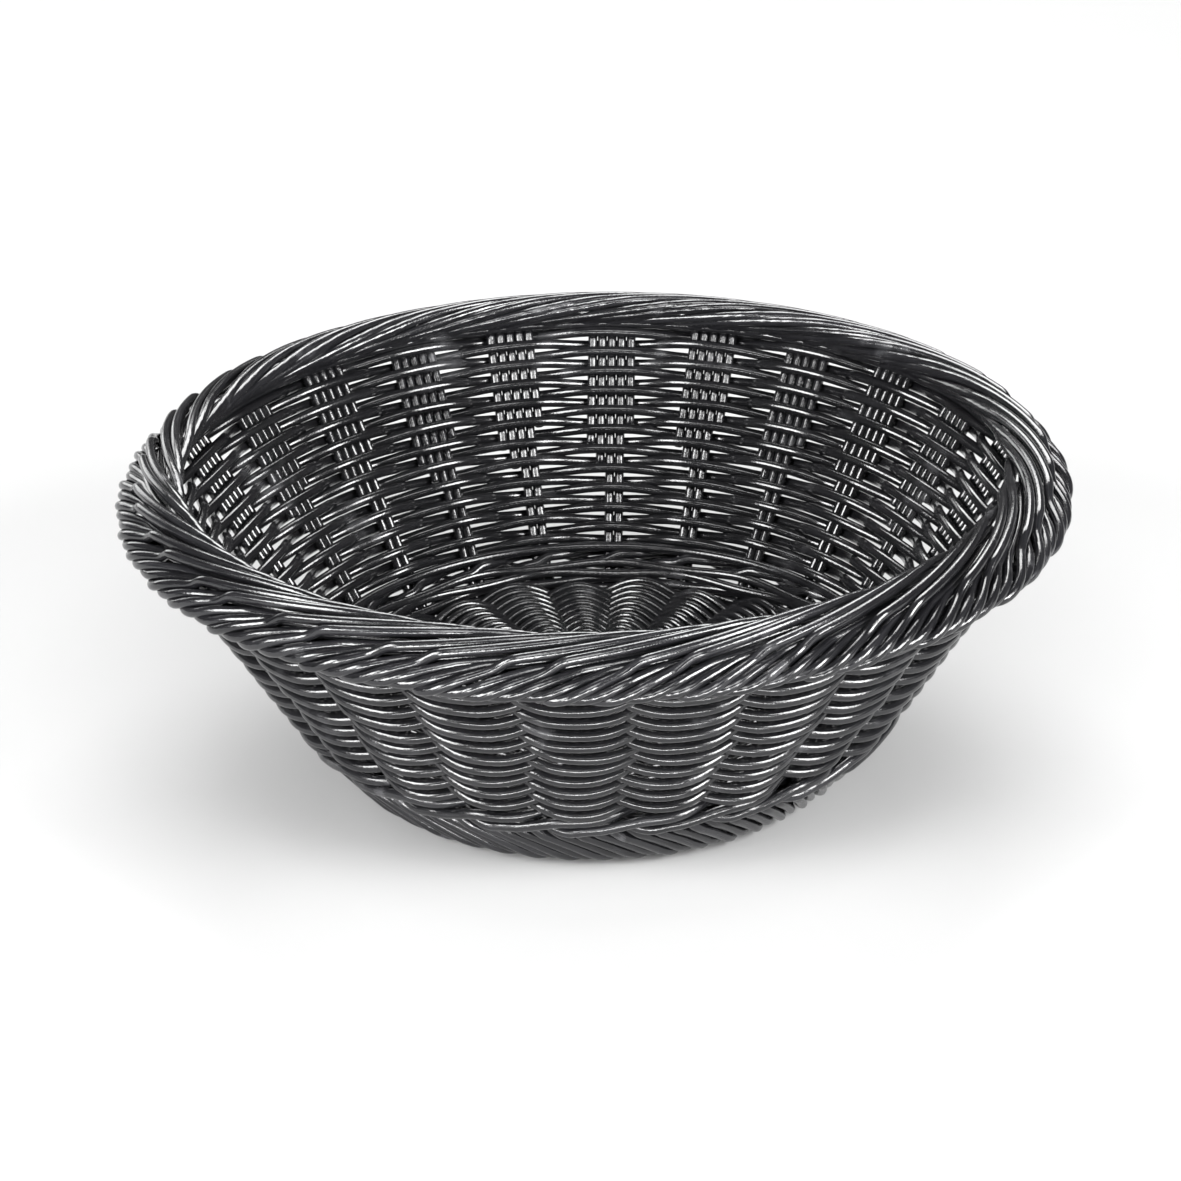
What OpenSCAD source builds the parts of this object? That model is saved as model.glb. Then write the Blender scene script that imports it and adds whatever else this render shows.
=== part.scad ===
// Round woven basket of plastic cord. Millimetres, +Z up, origin on the table under the basket's centre.
// Angles run anticlockwise seen from above. "Slant" is distance up the conical wall from its foot.

/* [Size] */
// Diameter over the rim border
rim_d = 400; // [390:1:410]
// Height from the table to the top of the rim border
height = 139; // [136:1:142]
// Diameter of the wall where it leaves the foot, to the middle of the stakes
wall_foot_d = 232; // [231:1:234]
// Height above the table at which the wall has that diameter
wall_foot_z = 18; // [17.5:0.5:18.5]

/* [Cords] */
// Thickness of a stake, a weaver or a spoke
cord_d = 4.2; // [3.8:0.1:4.2]
// Clearance left between cords that cross
clearance = 0.3; // [0.2:0.05:0.4]

/* [Weave] */
// Courses of side weaver, from the foot wale to the rim border
course_count = 22; // [20:1:22]
// Rounds of weave in the floor
floor_rounds = 15; // [13:1:15]

/* [Rim border] */
// Width of the rolled border's section, across the wall
border_w = 32.5; // [30:0.5:33]
// Thickness of the rolled border's section, along the wall
border_t = 15.5; // [15:0.5:16]
// Angle by which the border's section falls towards the outside
border_tilt = 30; // [26:1:34]

/* [Foot] */
// Height of the foot border
foot_h = 19.5; // [19:0.5:19.5]
// Inner diameter of the foot border where it stands
foot_d = 188; // [184:1:190]
// Width of the flat on which the foot border stands
foot_flat_w = 6; // [5:0.5:6]

/* [Hidden] */
// The weave needs 24 bundles of stakes: an even number, so that each course closes on itself.
bundle_count = 24;
bundle_step = 360 / bundle_count;
first_bundle_angle = 11.25;
function two_digits(n) = n < 10 ? str("0", n) : str(n);
stake_names = [for (i = [1:bundle_count]) str("stake_bundle_", two_digits(i))];
weaver_names = [for (i = [1:course_count]) str("side_weaver_", two_digits(i))];
wale_names = [for (i = [1:3]) str("foot_wale_strand_", i)];

cord_r = cord_d / 2;
cord_sides = 6;
slim = 1e-6;

// Rim border: an ellipse that rides on the wall's top
border_a = border_w / 2;
border_b = border_t / 2;
border_r = rim_d / 2 - norm([border_a * cos(border_tilt), border_b * sin(border_tilt)]);
border_z = height - norm([border_a * sin(border_tilt), border_b * cos(border_tilt)]);

// Wall: a straight line in the (radius, height) plane, from its foot to the middle of the border
wall_foot_r = wall_foot_d / 2;
wall_run = [border_r - wall_foot_r, border_z - wall_foot_z];
wall_len = norm(wall_run);
slant = wall_run / wall_len;
outward = [slant[1], -slant[0]];
// The courses fill the wall from here up to the underside of the border.
course_start = 23.9;
course_pitch = (wall_len - border_b - course_start) / course_count;
// A weaver's middle runs this far inside or outside the middle of the stakes.
weave_offset = cord_d + clearance;
// Points where a weaver leaves a bundle stand this far past the last stake.
weave_past = 2;

// Stakes: two that run the whole wall, and three shorter ones beside them under the rim
stake_pitch = cord_d + 0.2;
stake_top = wall_len - 2;
stake_foot = 3.5;
// Each row is the sideways place in stake pitches, then the slant of the lower end.
STAKES = [[-0.5, stake_foot], [0.5, stake_foot], [1.5, 61], [2.5, 70], [-1.5, 79]];

// Foot. The strands of the wale cross each other this far above and below its middle.
wale_step = weave_offset;
wale_middle = course_start - cord_r - wale_step - clearance / 2;
foot_gap = 0.3;
// The foot border's section leans out with the wall. Each point is a step out from the inner edge of
// its flat, then a height.
FOOT_SECTION = [[0, 0], [foot_flat_w, 0], [12, 3], [16.5, 7.5], [23.5, foot_h - 3], [23, foot_h],
    [18, foot_h], [10, 9]];

// Floor
floor_z = 22;
floor_first_r = 27;
floor_round_pitch = 6.15;
floor_cross = 14;
spoke_end_r = 112;
spoke_flat_r = 26;
spokes_per_arm = 6;
binding_r = 20.5;
binding_lift = 1.0;

function bundle_angle(i) = first_bundle_angle + (i - 1) * bundle_step;

// A point of the wall's cone: slant s, distance n outwards from the middle of the stakes, at an angle
function wall_rz(s, n) = [wall_foot_r, wall_foot_z] + s * slant + n * outward;
function turned(rz, angle) = [rz[0] * cos(angle), rz[0] * sin(angle), rz[1]];

// A closed or open tube of the given rings, each a list of points in the same order. Each side face is
// split in two, across the first diagonal up to the point split_at and across the other one after it.
function tube_faces(rings, sides, closed, split_at) = concat(
    [for (i = [0:rings - (closed ? 1 : 2)], k = [0:sides - 1])
        let (a = i * sides, b = ((i + 1) % rings) * sides, m = (k + 1) % sides)
        each k < split_at ? [[a + m, b + k, a + k], [a + m, b + m, b + k]]
            : [[a + m, b + m, a + k], [b + m, b + k, a + k]]],
    closed ? [] : [[for (k = [sides - 1:-1:0]) k],
        [for (k = [0:sides - 1]) (rings - 1) * sides + k]]);
module tube(rings, closed, split_at = 0) {
    polyhedron([for (ring = rings, p = ring) p],
        tube_faces(len(rings), len(rings[0]), closed, split_at), convexity = 10);
}

// One ring of a cord's section in the plane through the axis of the basket
function section_in_wall(s, n, angle) = [for (k = [0:cord_sides - 1])
    let (turn = k * 360 / cord_sides)
    turned(wall_rz(s + cord_r * sin(turn), n + cord_r * cos(turn)), angle)];

// How far a bundle reaches to each side at slant s, counting only the stakes that are there
function reach(s, side) = max([for (stake = STAKES) if (stake[1] <= s + cord_d)
    side * stake[0] * stake_pitch]) + cord_r + weave_past;

// A cord that goes round the wall, and passes each bundle at the slant in its list, inside the bundles
// where is_inside says so
module woven_ring(slants, is_inside) {
    rings = [for (i = [1:bundle_count], side = [-1, 1])
        let (s = slants[i - 1], n = is_inside[i - 1] ? -weave_offset : weave_offset)
        section_in_wall(s, n, bundle_angle(i) + side * reach(s, side) / wall_rz(s, 0)[0] * 180 / PI)];
    tube(rings, closed = true);
}

// One course of the side: over one bundle and under the next, and the other way on the next course
module side_weaver(course) {
    s = course_start + (course - 0.5) * course_pitch;
    color("#1d1e20")
        woven_ring([for (i = [1:bundle_count]) s], [for (i = [1:bundle_count]) (i + course) % 2 == 0]);
}

// One strand of the wale under the side, a rope of three strands: low outside one bundle, high outside
// the next, and inside the third
module foot_wale_strand(strand) {
    turns = [for (i = [1:bundle_count]) (i + strand) % 3];
    color("#222326")
        woven_ring([for (turn = turns) wale_middle + [0, -wale_step, wale_step][turn]],
            [for (turn = turns) turn == 0]);
}

// Straight stakes of one bundle, side by side in the wall
module stake_bundle(i) {
    lean = atan2(slant[0], slant[1]);
    color("#2a2b2e")
        rotate([0, 0, bundle_angle(i)])
            for (stake = STAKES)
                let (foot = wall_rz(stake[1], 0))
                translate([foot[0], stake[0] * stake_pitch, foot[1]])
                    rotate([0, lean, 0])
                        cylinder(r = cord_r, h = stake_top - stake[1], $fn = 24);
}

// The rolled border: each bundle's cords go out, up over the rim and down inside as one flat band.
// A band's middle runs from border_start to border_end round the section; a whole turn round the
// section takes bundles_per_turn bundles, so that many bands share each section.
bundles_per_turn = 4;
band_share = 360 / bundles_per_turn;
band_half = band_share / 2 - 5;
border_start = -60 + band_half;
border_end = 240 - band_half;
border_rings = 11;
band_steps = 3;
// The bands cross over each other inside the border, so they are thicker than one cord.
band_depth = 5;
function border_rz(turn, depth) = [border_r, border_z]
    + (border_a - depth) * cos(turn) * [cos(border_tilt), -sin(border_tilt)]
    + (border_b - depth) * sin(turn) * [sin(border_tilt), cos(border_tilt)];
module border_band(i) {
    rings = [for (k = [0:border_rings - 1])
        let (middle = border_start + (border_end - border_start) * k / (border_rings - 1),
            angle = bundle_angle(i) + (middle - border_start) * bundle_step / band_share,
            outer = [for (m = [0:band_steps]) border_rz(middle + band_half * (2 * m / band_steps - 1), 0)],
            inner = [for (m = [band_steps:-1:0])
                border_rz(middle + band_half * (2 * m / band_steps - 1), band_depth)])
        [for (rz = concat(outer, inner)) turned(rz, angle)]];
    tube(rings, closed = false, split_at = band_steps);
}
module rim_border() {
    color("#26272a")
        for (i = [1:bundle_count]) border_band(i);
}

// The foot border: one block of plaited stake ends under each bundle, flat where it stands
module foot_block() {
    rotate_extrude(angle = bundle_step - foot_gap, $fn = 96)
        translate([foot_d / 2, 0]) polygon(FOOT_SECTION);
}
module foot_border() {
    color("#1b1c1e")
        for (i = [1:bundle_count])
            rotate([0, 0, bundle_angle(i) - (bundle_step - foot_gap) / 2]) foot_block();
}

// Floor spokes: six rods cross six others, and their ends fan out to the gaps between the bundles.
function spoke_fan(k) = (k - (spokes_per_arm - 1) / 2) * bundle_step;
function spoke_route(k, lift) =
    let (y = (k - (spokes_per_arm - 1) / 2) * stake_pitch, fan = spoke_fan(k),
        flat = [spoke_flat_r * cos(fan), spoke_flat_r * sin(fan), 0],
        end = [spoke_end_r * cos(fan), spoke_end_r * sin(fan), 0],
        half = [[floor_cross, y, lift], flat, end])
    [for (p = [half[2], half[1], half[0]]) [-p[0], p[1], p[2]], for (p = half) p];
function unit(v) = v / norm(v);
function route_ring(route, i) =
    let (ahead = unit(route[min(i + 1, len(route) - 1)] - route[max(i - 1, 0)]),
        across = unit(cross(ahead, [0, 0, 1])), up = cross(across, ahead))
    [for (k = [0:cord_sides - 1])
        let (turn = k * 360 / cord_sides)
        route[i] + cord_r * (cos(turn) * across + sin(turn) * up)];
module base_spokes(lift, quarter) {
    color("#2a2b2e")
        translate([0, 0, floor_z])
            rotate([0, 0, first_bundle_angle + quarter])
                for (k = [0:spokes_per_arm - 1])
                    let (route = spoke_route(k, lift))
                    tube([for (i = [0:len(route) - 1]) route_ring(route, i)], closed = false);
}
module base_spokes_lower() base_spokes(-(cord_r + clearance / 4), 0);
module base_spokes_upper() base_spokes(cord_r + clearance / 4, 90);

// Floor weave: rings that lie on one face of the spokes, and a tighter one that binds the cross
module base_weave(side, rounds) {
    color("#1f2022")
        translate([0, 0, floor_z]) {
            translate([0, 0, side * (weave_offset + binding_lift)])
                rotate_extrude($fn = 96) translate([binding_r, 0]) circle(r = cord_r, $fn = 24);
            for (k = [0:rounds - 1])
                translate([0, 0, side * weave_offset])
                    rotate_extrude($fn = 96)
                        translate([floor_first_r + k * floor_round_pitch, 0])
                            circle(r = cord_r, $fn = 24);
        }
}
// The foot narrows below the floor, so the lower face holds one round fewer.
module base_weave_lower() base_weave(-1, floor_rounds - 1);
module base_weave_upper() base_weave(1, floor_rounds);

foot_border();
for (k = [1:3])
    foot_wale_strand(k);
base_spokes_lower();
base_spokes_upper();
base_weave_lower();
base_weave_upper();
for (i = [1:bundle_count])
    stake_bundle(i);
for (k = [1:course_count])
    side_weaver(k);
rim_border();
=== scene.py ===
"""Looks of the woven fruit basket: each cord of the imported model, drawn as glossy ribbed plastic."""

import bpy
import numpy as np
from mathutils import Matrix, Vector


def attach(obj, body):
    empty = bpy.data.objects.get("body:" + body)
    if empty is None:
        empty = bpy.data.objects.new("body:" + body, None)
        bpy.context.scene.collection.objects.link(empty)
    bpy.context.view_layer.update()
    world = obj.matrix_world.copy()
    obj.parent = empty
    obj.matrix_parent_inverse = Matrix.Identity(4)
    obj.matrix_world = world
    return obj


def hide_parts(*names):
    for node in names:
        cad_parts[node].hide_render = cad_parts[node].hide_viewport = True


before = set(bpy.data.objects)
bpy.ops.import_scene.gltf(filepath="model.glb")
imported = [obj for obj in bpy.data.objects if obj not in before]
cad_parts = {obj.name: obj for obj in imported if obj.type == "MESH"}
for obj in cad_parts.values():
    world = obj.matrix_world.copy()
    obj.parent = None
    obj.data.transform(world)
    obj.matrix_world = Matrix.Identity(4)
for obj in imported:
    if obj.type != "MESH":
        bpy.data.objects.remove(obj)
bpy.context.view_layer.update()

# Sizes in millimetres and degrees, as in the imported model. Angles run anticlockwise seen from above.
MM = 0.001
BUNDLES = 24
BUNDLE_STEP = 360 / BUNDLES
FIRST_ANGLE = 11.25
CORD_R = 2.1
CLEARANCE = 0.3
TOUCHING_R = CORD_R + CLEARANCE / 2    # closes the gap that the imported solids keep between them
PLAIT_R = 2.15
TWINED_R = 1.95
STAKE_PITCH = 4.4
COURSES = 22
COURSE_START = 23.9
WEAVE_OFFSET = 4.5
WEAVE_PAST = 2.0
WEAVE_SWING = 1.1     # how far the weavers swing, in weave offsets
BEND_PASSES = 14
RING_STEPS = 18       # points of a weaver from one bundle to the next
COURSE_WOBBLE = 0.14
WALE_WOBBLE = 0.2

# Rim border: an ellipse that rides on the wall's top
RIM_R = 200.0
HEIGHT = 139.0
BORDER_A = 16.25
BORDER_B = 7.75
TILT = np.radians(30)
ALONG_A = np.array([np.cos(TILT), -np.sin(TILT)])
ALONG_B = np.array([np.sin(TILT), np.cos(TILT)])
BORDER_MIDDLE = np.array([
    RIM_R - np.hypot(BORDER_A * np.cos(TILT), BORDER_B * np.sin(TILT)),
    HEIGHT - np.hypot(BORDER_A * np.sin(TILT), BORDER_B * np.cos(TILT)),
])

# Wall: a straight line in the (radius, height) plane
WALL_FOOT = np.array([116.0, 18.0])
WALL_LEN = np.linalg.norm(BORDER_MIDDLE - WALL_FOOT)
SLANT = (BORDER_MIDDLE - WALL_FOOT) / WALL_LEN
OUTWARD = np.array([SLANT[1], -SLANT[0]])
COURSE_PITCH = (WALL_LEN - BORDER_B - COURSE_START) / COURSES

# Stakes: sideways place in stake pitches, slant of the lower end, and rank in the border, 0 leading
STAKES = [(-1.5, 79.0, 0), (-0.5, 3.5, 1), (0.5, 3.5, 2), (1.5, 61.0, 3), (2.5, 70.0, 4)]

# Foot and floor
WALE_STEP = 4.5
WALE_MIDDLE = COURSE_START - CORD_R - WALE_STEP - CLEARANCE / 2
# Heights in wale steps where a strand comes to a bundle and leaves it: inside it, low outside, high outside
WALE_LIFTS = [(0.3, -0.35), (-1, -0.5), (0.85, 0.85)]
PLAIT_TRAVEL = 25.0
TWIN_GAP = 0.46
FLOOR_Z = 22.0
FLOOR_FIRST_R = 27.0
FLOOR_PITCH = 6.15
FLOOR_ROUNDS = 15
FLOOR_CROSS = 14.0
SPOKE_END_R = 112.0
SPOKE_FLAT_R = 26.0
SPOKES_PER_ARM = 6
SINGLE_SPOKES_R = 45  # the rounds outside this radius go over one spoke, and those inside over two
TWINE_HEIGHT = 5.0
TWINE_SWAP = 1.3
BINDING_R = 20.5
BINDING_LIFT = 5.5
CORNER_ROUNDS = [(117.2, 22.0), (116.0, 25.8), (116.6, 29.2), (119.0, 32.2)]

SIDES = 12
chance = np.random.RandomState(7)


def bundle_angle(i):
    return FIRST_ANGLE + (i - 1) * BUNDLE_STEP


def unit(v):
    return v / np.linalg.norm(v, axis=-1, keepdims=True)


def smooth(x):
    x = np.clip(x, 0, 1)
    return x * x * (3 - 2 * x)


def turned(rz, angle):
    """Points of the (radius, height) plane, turned about the basket's axis to an angle in degrees."""
    a = np.radians(angle)
    r, z = rz[..., 0], rz[..., 1]
    return np.stack([r * np.cos(a), r * np.sin(a), z + 0 * a], -1)


def wall_point(s, n, angle):
    s, n, angle = np.broadcast_arrays(np.asarray(s, float), n, angle)
    return turned(WALL_FOOT + s[..., None] * SLANT + n[..., None] * OUTWARD, angle)


def wall_out(angle):
    return turned(np.broadcast_to(OUTWARD, np.shape(angle) + (2,)), np.asarray(angle, float))


def even(points, step):
    """The open line through the points, with a point every step."""
    at = np.concatenate([[0], np.cumsum(np.linalg.norm(np.diff(points, axis=0), axis=1))])
    want = np.linspace(0, at[-1], max(int(at[-1] / step) + 1, 3))
    return np.stack([np.interp(want, at, points[:, k]) for k in range(points.shape[1])], -1)


def soften(points, passes):
    """Rounds an open line's corners, and keeps its ends."""
    points = points.copy()
    for _ in range(passes):
        points[1:-1] = 0.25 * points[:-2] + 0.5 * points[1:-1] + 0.25 * points[2:]
    return points


def tube(route, out, closed=False, radius=CORD_R):
    """A round cord along a route. out points roughly away from what the cord lies on."""
    scale = np.ones(len(route))
    if closed:
        ahead = unit(np.roll(route, -1, 0) - np.roll(route, 1, 0))
    else:
        ahead = unit(np.gradient(route, axis=0))
        first, last = ahead[0] * radius, ahead[-1] * radius
        route = np.vstack([route[0] - 0.36 * first, route[0] - 0.2 * first, route,
                           route[-1] + 0.2 * last, route[-1] + 0.36 * last])
        ahead = np.vstack([ahead[:1], ahead[:1], ahead, ahead[-1:], ahead[-1:]])
        out = np.vstack([out[:1], out[:1], out, out[-1:], out[-1:]])
        scale = np.concatenate([[0.6, 0.9], scale, [0.9, 0.6]])
    side = unit(np.cross(ahead, out))
    up = np.cross(side, ahead)
    turn = 2 * np.pi * np.arange(SIDES) / SIDES
    ring = np.cos(turn)[:, None] * up[:, None] + np.sin(turn)[:, None] * side[:, None]
    points = route[:, None] + radius * scale[:, None, None] * ring
    rings = len(route)
    step = np.linalg.norm(np.diff(route, axis=0, append=route[:1]), axis=1)
    along = np.concatenate([[0], np.cumsum(step)])
    last = rings if closed else rings - 1
    i, k = np.meshgrid(np.arange(last), np.arange(SIDES), indexing="ij")
    i, k = i.ravel(), k.ravel()
    j, m = (i + 1) % rings, (k + 1) % SIDES
    quads = np.stack([i * SIDES + k, i * SIDES + m, j * SIDES + m, j * SIDES + k], -1)
    uv = np.stack([along[i], k / SIDES, along[i], (k + 1) / SIDES,
                   along[i + 1], (k + 1) / SIDES, along[i + 1], k / SIDES], -1)
    caps = [] if closed else [list(range(SIDES - 1, -1, -1)),
                              list(range((rings - 1) * SIDES, rings * SIDES))]
    return points.reshape(-1, 3), quads, uv.reshape(-1, 2), caps


def cord_piece(name, tubes, nodes, material):
    """One piece made of these tubes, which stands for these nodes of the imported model."""
    points, faces, uvs, tones = [], [], [], []
    start = 0
    for tube_points, quads, uv, caps in tubes:
        shift = chance.uniform(0, 400)
        points.append(tube_points)
        faces += (quads + start).tolist()
        uvs.append(uv + [shift, 0])
        for cap in caps:
            faces.append([start + v for v in cap])
            uvs.append(np.full((len(cap), 2), 0.5))
        tones.append(np.full(len(tube_points), chance.uniform(0, 1)))
        start += len(tube_points)
    mesh = bpy.data.meshes.new(name)
    mesh.from_pydata((np.vstack(points) * MM).tolist(), [], faces)
    mesh.polygons.foreach_set("use_smooth", [True] * len(faces))
    layer = mesh.uv_layers.new(name="cord")
    layer.data.foreach_set("uv", (np.vstack(uvs) * [MM, 1]).ravel())
    tone = mesh.attributes.new("cord_tone", "FLOAT", "POINT")
    tone.data.foreach_set("value", np.concatenate(tones))
    mesh.materials.append(material)
    mesh.update()
    piece = bpy.data.objects.new(name, mesh)
    bpy.context.scene.collection.objects.link(piece)
    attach(piece, "root")
    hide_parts(*nodes)
    return piece


# ---------------------------------------------------------------- material

def cord_plastic(name, dark, light, roughness, ribs, wear):
    """Glossy extruded plastic: fine ribs along the cord, streaks in colour and gloss, and scuffs."""
    material = bpy.data.materials.new(name)
    material.use_nodes = True
    tree = material.node_tree
    node, link = tree.nodes.new, tree.links.new
    shader = tree.nodes["Principled BSDF"]
    shader.inputs["IOR"].default_value = 1.5
    shader.inputs["Coat Weight"].default_value = 0.0

    def math(operation, a, b):
        made = node("ShaderNodeMath")
        made.operation = operation
        for slot, value in enumerate((a, b)):
            if isinstance(value, (int, float)):
                made.inputs[slot].default_value = value
            else:
                link(value, made.inputs[slot])
        return made.outputs[0]

    def noise(vector, scale, detail):
        made = node("ShaderNodeTexNoise")
        made.inputs["Scale"].default_value = scale
        made.inputs["Detail"].default_value = detail
        link(vector, made.inputs["Vector"])
        return made.outputs["Fac"]

    def spread(value, low, high, to_low, to_high):
        made = node("ShaderNodeMapRange")
        link(value, made.inputs["Value"])
        for slot, number in enumerate((low, high, to_low, to_high)):
            made.inputs[slot + 1].default_value = number
        return made.outputs["Result"]

    place = node("ShaderNodeUVMap")
    place.uv_map = "cord"
    split = node("ShaderNodeSeparateXYZ")
    link(place.outputs["UV"], split.inputs[0])
    along, around = split.outputs["X"], split.outputs["Y"]
    angle = math("MULTIPLY", around, 2 * np.pi)
    sine, cosine = math("SINE", angle, 0.0), math("COSINE", angle, 0.0)

    def stretched(length_scale, girth_scale):
        """A place on the cord as a point of a cylinder, so that noise closes round it."""
        joined = node("ShaderNodeCombineXYZ")
        link(math("MULTIPLY", along, length_scale), joined.inputs["X"])
        link(math("MULTIPLY", sine, girth_scale), joined.inputs["Y"])
        link(math("MULTIPLY", cosine, girth_scale), joined.inputs["Z"])
        return joined.outputs[0]

    streak = noise(stretched(60.0, 2.6), 1.6, 4.0)
    grain = noise(stretched(900.0, 3.4), 1.0, 2.0)
    rib = math("SINE", math("MULTIPLY", angle, ribs), 0.0)
    tone = node("ShaderNodeAttribute")
    tone.attribute_name = "cord_tone"

    body = node("ShaderNodeTexCoord")
    patch = noise(body.outputs["Object"], 38.0, 5.0)
    scuff = spread(patch, 0.62, 0.75, 0.0, wear)

    mixed = node("ShaderNodeMix")
    mixed.data_type = "RGBA"
    link(spread(math("ADD", streak, math("MULTIPLY", tone.outputs["Fac"], 0.25)), 0.4, 0.95, 0.0, 1.0),
         mixed.inputs["Factor"])
    mixed.inputs["A"].default_value = (*dark, 1)
    mixed.inputs["B"].default_value = (*light, 1)
    worn = node("ShaderNodeMix")
    worn.data_type = "RGBA"
    link(scuff, worn.inputs["Factor"])
    link(mixed.outputs["Result"], worn.inputs["A"])
    worn.inputs["B"].default_value = (0.09, 0.09, 0.095, 1)
    link(worn.outputs["Result"], shader.inputs["Base Color"])

    gloss = spread(streak, 0.3, 0.7, roughness - 0.06, roughness + 0.08)
    link(math("ADD", gloss, math("MULTIPLY", scuff, 0.3)), shader.inputs["Roughness"])

    height = math("ADD", math("MULTIPLY", rib, 0.12), math("MULTIPLY", grain, 0.8))
    bump = node("ShaderNodeBump")
    bump.inputs["Strength"].default_value = 0.5
    bump.inputs["Distance"].default_value = 0.00016
    link(height, bump.inputs["Height"])
    link(bump.outputs["Normal"], shader.inputs["Normal"])
    return material


def floor_paint():
    material = bpy.data.materials.new("pale_floor")
    material.use_nodes = True
    shader = material.node_tree.nodes["Principled BSDF"]
    shader.inputs["Base Color"].default_value = (0.34, 0.34, 0.34, 1)
    shader.inputs["Roughness"].default_value = 0.9
    shader.inputs["Specular IOR Level"].default_value = 0.1
    return material


# ---------------------------------------------------------------- stage, lights and camera

def camera():
    """Long lens at the front, a little over the rim. The target is on the axis, 60 mm up."""
    elevation = np.radians(25.5)
    distance = 1.817
    target = Vector((0, 0, 0.060))
    data = bpy.data.cameras.new("camera")
    data.sensor_width = 36
    data.lens = 130.1
    data.shift_x = -0.0048
    data.shift_y = 0.0261
    data.clip_end = 50
    placed = bpy.data.objects.new("camera", data)
    bpy.context.scene.collection.objects.link(placed)
    away = Vector((0, -np.cos(elevation), np.sin(elevation)))
    placed.location = target + distance * away
    facing = (-away).to_track_quat("-Z", "Y").to_matrix()
    roll = Matrix.Rotation(np.radians(-1.0), 3, "Z")
    placed.rotation_euler = (facing @ roll).to_euler()
    bpy.context.scene.camera = placed


# azimuth, elevation, distance, width, height and power
SOFTBOXES = {
    "softbox_left": (212, 27, 2.2, 0.95, 0.95, 85),
    "softbox_right": (-32, 27, 2.2, 0.95, 0.95, 100),
    "softbox_front": (-90, 5, 2.4, 3.2, 0.36, 165),
    "softbox_high": (-90, 50, 2.4, 1.5, 0.8, 40),
    "softbox_back": (90, 48, 2.6, 1.8, 1.4, 100),
    "softbox_back_left": (125, 14, 2.2, 0.9, 0.9, 10),
}


def softbox(name, azimuth, elevation, distance, width, height, power):
    """An area light that faces the basket."""
    data = bpy.data.lights.new(name, "AREA")
    data.shape = "RECTANGLE"
    data.size = width
    data.size_y = height
    data.energy = power
    placed = bpy.data.objects.new(name, data)
    bpy.context.scene.collection.objects.link(placed)
    a, e = np.radians(azimuth), np.radians(elevation)
    away = Vector((np.cos(e) * np.cos(a), np.cos(e) * np.sin(a), np.sin(e)))
    placed.location = Vector((0, 0, 0.06)) + distance * away
    placed.rotation_euler = (-away).to_track_quat("-Z", "Y").to_euler()


def stage():
    half = 6.0
    mesh = bpy.data.meshes.new("floor")
    corners = [(-half, -half, 0), (half, -half, 0), (half, half, 0), (-half, half, 0)]
    mesh.from_pydata(corners, [], [(0, 1, 2, 3)])
    mesh.materials.append(floor_paint())
    floor = bpy.data.objects.new("floor", mesh)
    floor.location.z = -0.0004
    bpy.context.scene.collection.objects.link(floor)
    world = bpy.data.worlds.new("studio")
    world.use_nodes = True
    world.node_tree.nodes["Background"].inputs["Color"].default_value = (1, 1, 1, 1)
    world.node_tree.nodes["Background"].inputs["Strength"].default_value = 0.12
    bpy.context.scene.world = world
    bpy.context.scene.view_settings.view_transform = "Standard"
    for name, place in SOFTBOXES.items():
        softbox(name, *place)


# ---------------------------------------------------------------- wall

def reach(s, side):
    """How far a bundle reaches to one side at slant s, with the weaver's bend past its last stake."""
    there = [side * place * STAKE_PITCH for place, foot, _ in STAKES if foot <= s + 2 * CORD_R]
    return max(there) + CORD_R + WEAVE_PAST


def woven_ring(slants, insides, wobble, radius):
    """A cord once round the wall, inside the bundles where insides says so. slants has the slants at
    which it comes to each bundle and leaves it."""
    knots, offsets = [], []
    for i in range(1, BUNDLES + 1):
        n = -WEAVE_OFFSET if insides[i - 1] else WEAVE_OFFSET
        for side, s in zip((-1, 1), slants[i - 1]):
            reached = np.degrees((reach(s, side) - 2.0) / (WALL_FOOT[0] + s * SLANT[0]))
            knots.append(bundle_angle(i) + side * reached)
            offsets.append((n, s))
    offsets = np.array(offsets)
    angle = knots[0] + np.arange(0, 360, BUNDLE_STEP / RING_STEPS)
    ring_knots = np.append(knots, knots[0] + 360)
    ring_offsets = np.vstack([offsets, offsets[:1]])
    k = np.clip(np.searchsorted(ring_knots, angle, side="right") - 1, 0, len(knots) - 1)
    share = smooth((angle - ring_knots[k]) / (ring_knots[k + 1] - ring_knots[k]))
    n, s = (ring_offsets[k] + share[:, None] * (ring_offsets[k + 1] - ring_offsets[k])).T
    for _ in range(BEND_PASSES):
        n = 0.25 * np.roll(n, 1) + 0.5 * n + 0.25 * np.roll(n, -1)
    n = n * WEAVE_OFFSET / np.abs(n).max() * WEAVE_SWING
    waves = sum(np.sin(np.radians(angle) * q + chance.uniform(0, 6.28)) * chance.uniform(0.3, 1)
                for q in (3, 7, 12, 17))
    return tube(wall_point(s + wobble * waves, n, angle), wall_out(angle), closed=True, radius=radius)


def ring_at(s, n, radius):
    """A plain closed cord round the wall."""
    angle = np.arange(0, 360, 1.0)
    return tube(wall_point(s, n, angle), wall_out(angle), closed=True, radius=radius)


def side_weavers(material):
    for course in range(1, COURSES + 1):
        s = COURSE_START + (course - 0.5) * COURSE_PITCH
        insides = [(i + course) % 2 == 0 for i in range(1, BUNDLES + 1)]
        name = f"side_weaver_{course:02d}"
        ring = woven_ring([(s, s)] * BUNDLES, insides, COURSE_WOBBLE, TOUCHING_R)
        cord_piece(f"{name}_cord", [ring], [name], material)


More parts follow.
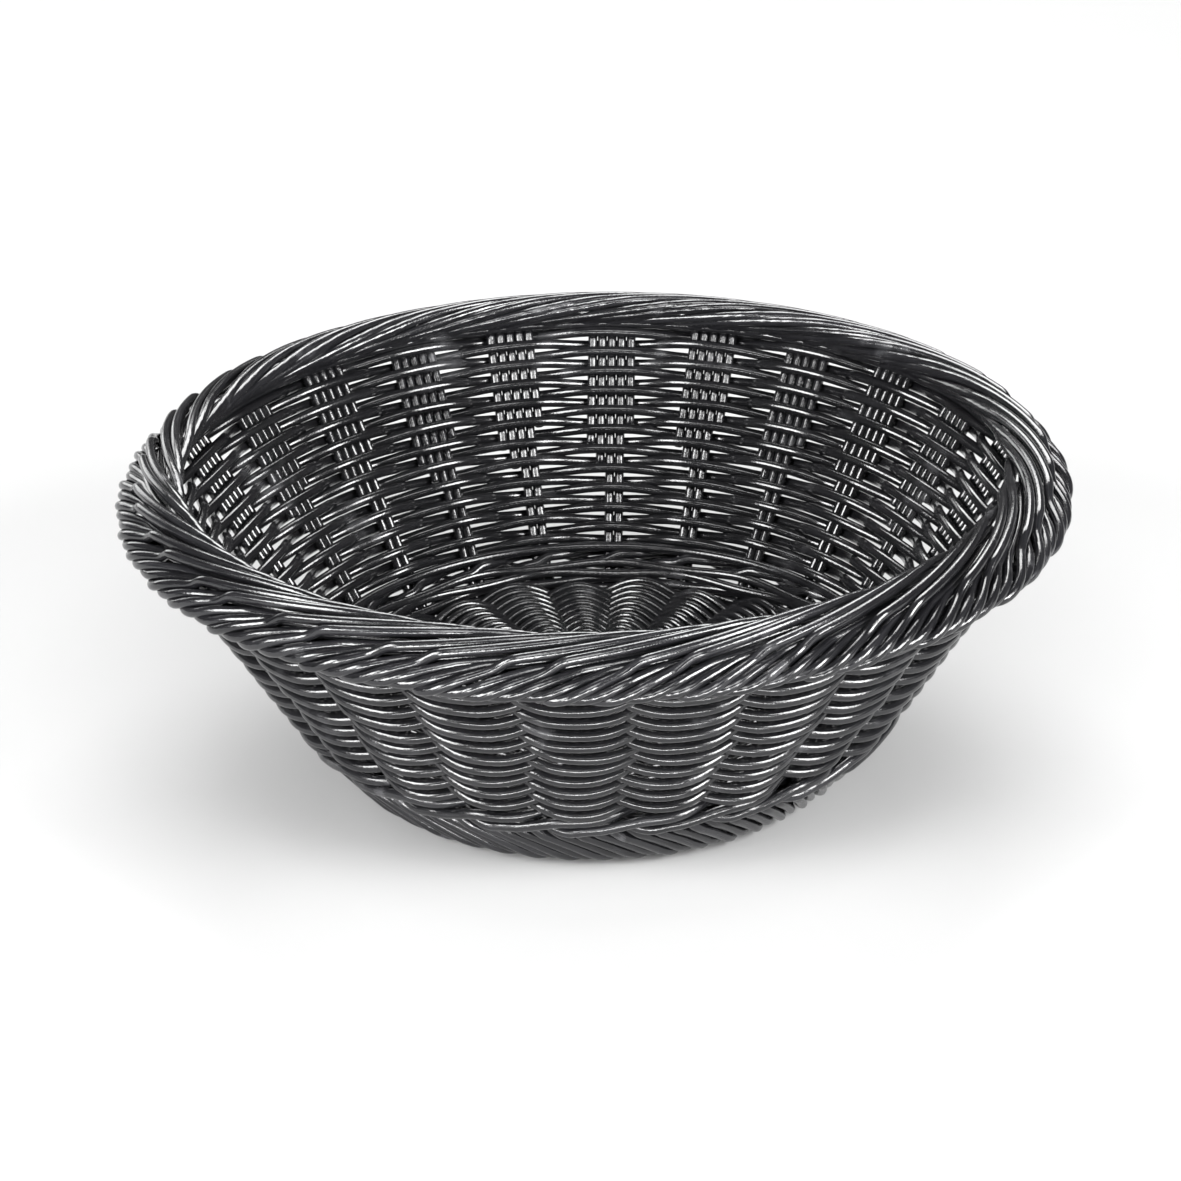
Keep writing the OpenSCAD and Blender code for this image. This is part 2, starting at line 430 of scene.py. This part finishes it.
def foot_wale(material):
    """A rope of three strands: each is low outside one bundle, high outside the next, inside the third.
    The first strand's piece also has a plain round inside the wall, which closes the gap over the rope."""
    inner_round = ring_at(WALE_MIDDLE + WALE_STEP, -WEAVE_OFFSET, TOUCHING_R)
    for strand in range(1, 4):
        turns = [(i + strand) % 3 for i in range(1, BUNDLES + 1)]
        lifts = [WALE_LIFTS[turn] for turn in turns]
        slants = [(WALE_MIDDLE + WALE_STEP * a, WALE_MIDDLE + WALE_STEP * b) for a, b in lifts]
        name = f"foot_wale_strand_{strand}"
        ring = woven_ring(slants, [turn == 0 for turn in turns], WALE_WOBBLE, TOUCHING_R)
        cords = [ring, inner_round] if strand == 1 else [ring]
        cord_piece(f"{name}_cord", cords, [name], material)


# ---------------------------------------------------------------- stakes and rim border

# The border's route is worked out unrolled: x runs along the rim, u round the section from its underside
# outwards, over the top and down inside, and depth is how far the cord's middle lies under the surface.
UNDERSIDE = -95.0
SECTION_MID_DEPTH = 2.6
OUTER_SLOPE = 0.5
INNER_SLOPE = 0.2
CORD_SHIFT = 9.7
LEAD_U = 16.9
RIDGE_U = 30.5
LIP_U = 60.0
END_U = 66.0
TUCK_SLOPE = 0.7
TUCK_RUN = 20.0
OUTER_DEPTHS = (1.7, 2.4, 1.8, 2.5, 3.2)
JITTER = 0.35
STRAIGHT_END = 8.5    # from the wall's top down to where a stake starts to bend
CORE_DROP = 5.9


def section_table():
    turn = np.radians(np.arange(UNDERSIDE, 270, 1.0))
    a, b = BORDER_A - SECTION_MID_DEPTH, BORDER_B - SECTION_MID_DEPTH
    points = np.stack([a * np.cos(turn), b * np.sin(turn)], -1)
    u = np.concatenate([[0], np.cumsum(np.linalg.norm(np.diff(points, axis=0), axis=1))])
    return u, np.degrees(turn)


SECTION_U, SECTION_TURN = section_table()


def border_place(u, depth):
    """(radius, height) of a point of the border's section, and the way out of the section there."""
    turn = np.radians(np.interp(u, SECTION_U, SECTION_TURN))
    a, b = BORDER_A, BORDER_B
    surface = (a * np.cos(turn))[:, None] * ALONG_A + (b * np.sin(turn))[:, None] * ALONG_B
    out = unit((np.cos(turn) / a)[:, None] * ALONG_A + (np.sin(turn) / b)[:, None] * ALONG_B)
    return BORDER_MIDDLE + surface - depth[:, None] * out, out


def border_path(rank, jitter):
    """x, u and depth of one cord of a bundle, from the wall's top to its tucked end."""
    over = rank in (0, 2)
    start = (-1.5 + rank) * STAKE_PITCH - CORD_SHIFT * rank
    ridge = (RIDGE_U - LEAD_U) / OUTER_SLOPE
    lip = ridge + (LIP_U - RIDGE_U) / INNER_SLOPE
    end = lip + (END_U - LIP_U) / TUCK_SLOPE if over else lip + TUCK_RUN
    x = np.arange(start, end, 1.0)
    u = np.where(x < ridge, LEAD_U + x * OUTER_SLOPE, RIDGE_U + (x - ridge) * INNER_SLOPE)
    u = np.where(x > lip, LIP_U + (x - lip) * (TUCK_SLOPE if over else INNER_SLOPE), u) + jitter
    outer = OUTER_DEPTHS[rank] + 2.4 * smooth((u - 20) / 8)
    if over:
        inner = 0.6 + 2.4 * smooth((x - ridge) / (lip - ridge)) + 1.4 * smooth((x - lip) / (end - lip))
        depth = outer + smooth((x - ridge + 6) / 10) * (inner - outer)
    else:
        depth = outer + smooth((x - ridge + 12) / 14) * (CORD_R + 4.4 - outer) - 4.2 * smooth((u - 48) / 12)
    return x + CORD_SHIFT * rank, u, depth


def stake_cord(bundle, place, foot, rank):
    """A stake up the wall, bent outwards under the rim, and rolled over it."""
    lateral = place * STAKE_PITCH
    x, u, depth = border_path(rank, chance.uniform(-JITTER, JITTER))
    rise = np.arange(1.0, max(u[0] - 1.0, 1.5), 1.0)
    rise_depth = CORD_R + (depth[0] - CORD_R) * rise / max(u[0], 1)
    x = np.concatenate([np.full(len(rise), lateral), x])
    u = np.concatenate([rise, u])
    depth = np.concatenate([rise_depth, depth])
    rz, out = border_place(u, depth)
    angle = bundle_angle(bundle) + np.degrees(x / BORDER_MIDDLE[0])
    rolled, rolled_out = turned(rz, angle), turned(out, angle)

    s = np.arange(foot, WALL_LEN - STRAIGHT_END, 1.0)
    r = WALL_FOOT[0] + s * SLANT[0]
    wall_angle = bundle_angle(bundle) + np.degrees(lateral / r)
    straight = wall_point(s, 0.0, wall_angle)
    route = np.vstack([straight, rolled])
    outs = np.vstack([wall_out(wall_angle), rolled_out])
    both = even(np.hstack([route, outs]), 1.0)
    both = np.hstack([soften(both[:, :3], 5), soften(both[:, 3:], 30)])
    both = both[np.r_[0:len(both) - 1:2, len(both) - 1]]
    return tube(both[:, :3], unit(both[:, 3:]))


def stake_bundles(material):
    for bundle in range(1, BUNDLES + 1):
        cords = [stake_cord(bundle, place, foot, rank) for place, foot, rank in STAKES]
        name = f"stake_bundle_{bundle:02d}"
        cord_piece(f"{name}_cords", cords, [name, "rim_border"], material)


def rim_core(material):
    """Two rounds under the rolled border, either side of the stakes. They close it against the wall."""
    rounds = [ring_at(WALL_LEN - CORE_DROP, n, CORD_R) for n in (-2 * CORD_R, 2 * CORD_R)]
    cord_piece("rim_core_cords", rounds, ["rim_border"], material)


# ---------------------------------------------------------------- foot and floor

def foot_plait(material):
    """The lower ends of the stakes, in pairs: down the outside of the foot aslant, and up inside it."""
    section = np.array([
        (122.5, 25.5), (121.5, 21.5), (117.5, 17.0), (113.0, 11.5), (109.0, 6.5),
        (104.5, 3.2), (99.5, 2.1), (97.0, 4.5), (101.0, 9.5), (106.0, 14.5),
    ])
    section = soften(even(section, 1.2), 3)
    along = np.gradient(section, axis=0)
    out = unit(np.stack([-along[:, 1], along[:, 0]], -1))
    share = np.linspace(0, 1, len(section))
    cords = []
    for i in range(2 * BUNDLES):
        for twin in (-0.5, 0.5):
            angle = FIRST_ANGLE + (i + TWIN_GAP * twin) * BUNDLE_STEP / 2 + PLAIT_TRAVEL * share
            sunk = 0.7 * (twin > 0) + chance.uniform(0, 0.5)
            route = turned(section - sunk * out, angle)
            cords.append(tube(route, turned(out, angle), radius=PLAIT_R))
    cord_piece("foot_plait", cords, ["foot_border"], material)


def spokes(material):
    for name, lift, quarter in (("base_spokes_lower", -1, 0), ("base_spokes_upper", 1, 90)):
        cords = []
        for k in range(SPOKES_PER_ARM):
            place = k - (SPOKES_PER_ARM - 1) / 2
            fan = np.radians(place * BUNDLE_STEP)
            half = np.array([
                [FLOOR_CROSS, place * STAKE_PITCH, lift * 2.2],
                [SPOKE_FLAT_R * np.cos(fan), SPOKE_FLAT_R * np.sin(fan), 0],
                [SPOKE_END_R * np.cos(fan), SPOKE_END_R * np.sin(fan), 0],
            ])
            route = np.vstack([half[::-1] * [-1, 1, 1], half])
            a = np.radians(FIRST_ANGLE + quarter)
            x, y, z = soften(even(route, 3.0), 3).T
            points = np.stack([x * np.cos(a) - y * np.sin(a), x * np.sin(a) + y * np.cos(a), z + FLOOR_Z], -1)
            cords.append(tube(points, np.tile([0.0, 0.0, 1.0], (len(points), 1))))
        cord_piece(f"{name}_cords", cords, [name], material)


def twined_strand(radius, groups, start, phase):
    """One strand of a twined round: over one spoke group, under the next."""
    angle = np.arange(0, 360, 360 / (groups * max(int(round(2 * np.pi * radius / groups / 1.7)), 6)))
    wave = np.cos(np.radians((angle - start) * groups / 2) + phase)
    swap = np.sin(np.radians((angle - start) * groups / 2) + phase)
    rz = np.stack([radius + TWINE_SWAP * swap, FLOOR_Z + TWINE_HEIGHT * wave], -1)
    return tube(turned(rz, angle), np.tile([0.0, 0.0, 1.0], (len(angle), 1)), closed=True, radius=TWINED_R)


def corner_round(radius, height, k):
    """A last round of the floor's weave, where it climbs the stakes to the wale."""
    angle = np.arange(0, 360, 1.25)
    wave = np.cos(np.radians((angle - FIRST_ANGLE) * BUNDLES / 2) + np.pi * k)
    rz = np.stack([radius + 0.9 * wave, height + 0.5 * wave], -1)
    return tube(turned(rz, angle), np.tile([0.0, 0.0, 1.0], (len(angle), 1)), closed=True, radius=PLAIT_R)


def floor_weave(material):
    """Twined rounds: one strand's arcs show above, the other's below, and they change between spokes."""
    start = FIRST_ANGLE + BUNDLE_STEP / 2
    for name, phase in (("base_weave_upper", 0.0), ("base_weave_lower", np.pi)):
        rounds = FLOOR_ROUNDS if phase == 0.0 else FLOOR_ROUNDS - 1
        strands = []
        for k in range(rounds):
            radius = FLOOR_FIRST_R + k * FLOOR_PITCH
            groups = BUNDLES if radius > SINGLE_SPOKES_R else BUNDLES // 2
            strands.append(twined_strand(radius, groups, start, phase + np.pi * (k % 2)))
        angle = np.arange(0, 360, 4.0)
        lift = BINDING_LIFT if phase == 0.0 else -BINDING_LIFT
        rz = np.stack([np.full(len(angle), BINDING_R), np.full(len(angle), FLOOR_Z + lift)], -1)
        strands.append(tube(turned(rz, angle), np.tile([0.0, 0.0, 1.0], (len(angle), 1)), closed=True))
        if phase == 0.0:
            strands += [corner_round(r, z, k) for k, (r, z) in enumerate(CORNER_ROUNDS)]
        cord_piece(f"{name}_cords", strands, [name], material)


camera()
stage()
BLACK = (0.003, 0.003, 0.0035)
WALL_PLASTIC = cord_plastic("weaver_plastic", BLACK, (0.011, 0.011, 0.012), 0.17, 14, 0.3)
STAKE_PLASTIC = cord_plastic("stake_plastic", BLACK, (0.012, 0.012, 0.0135), 0.16, 14, 0.4)
FOOT_PLASTIC = cord_plastic("foot_plastic", BLACK, (0.012, 0.012, 0.0135), 0.21, 14, 0.7)
FLOOR_PLASTIC = cord_plastic("floor_plastic", BLACK, (0.011, 0.011, 0.012), 0.18, 14, 0.5)

side_weavers(WALL_PLASTIC)
foot_wale(FOOT_PLASTIC)
stake_bundles(STAKE_PLASTIC)
rim_core(WALL_PLASTIC)
foot_plait(FOOT_PLASTIC)
spokes(FLOOR_PLASTIC)
floor_weave(FLOOR_PLASTIC)
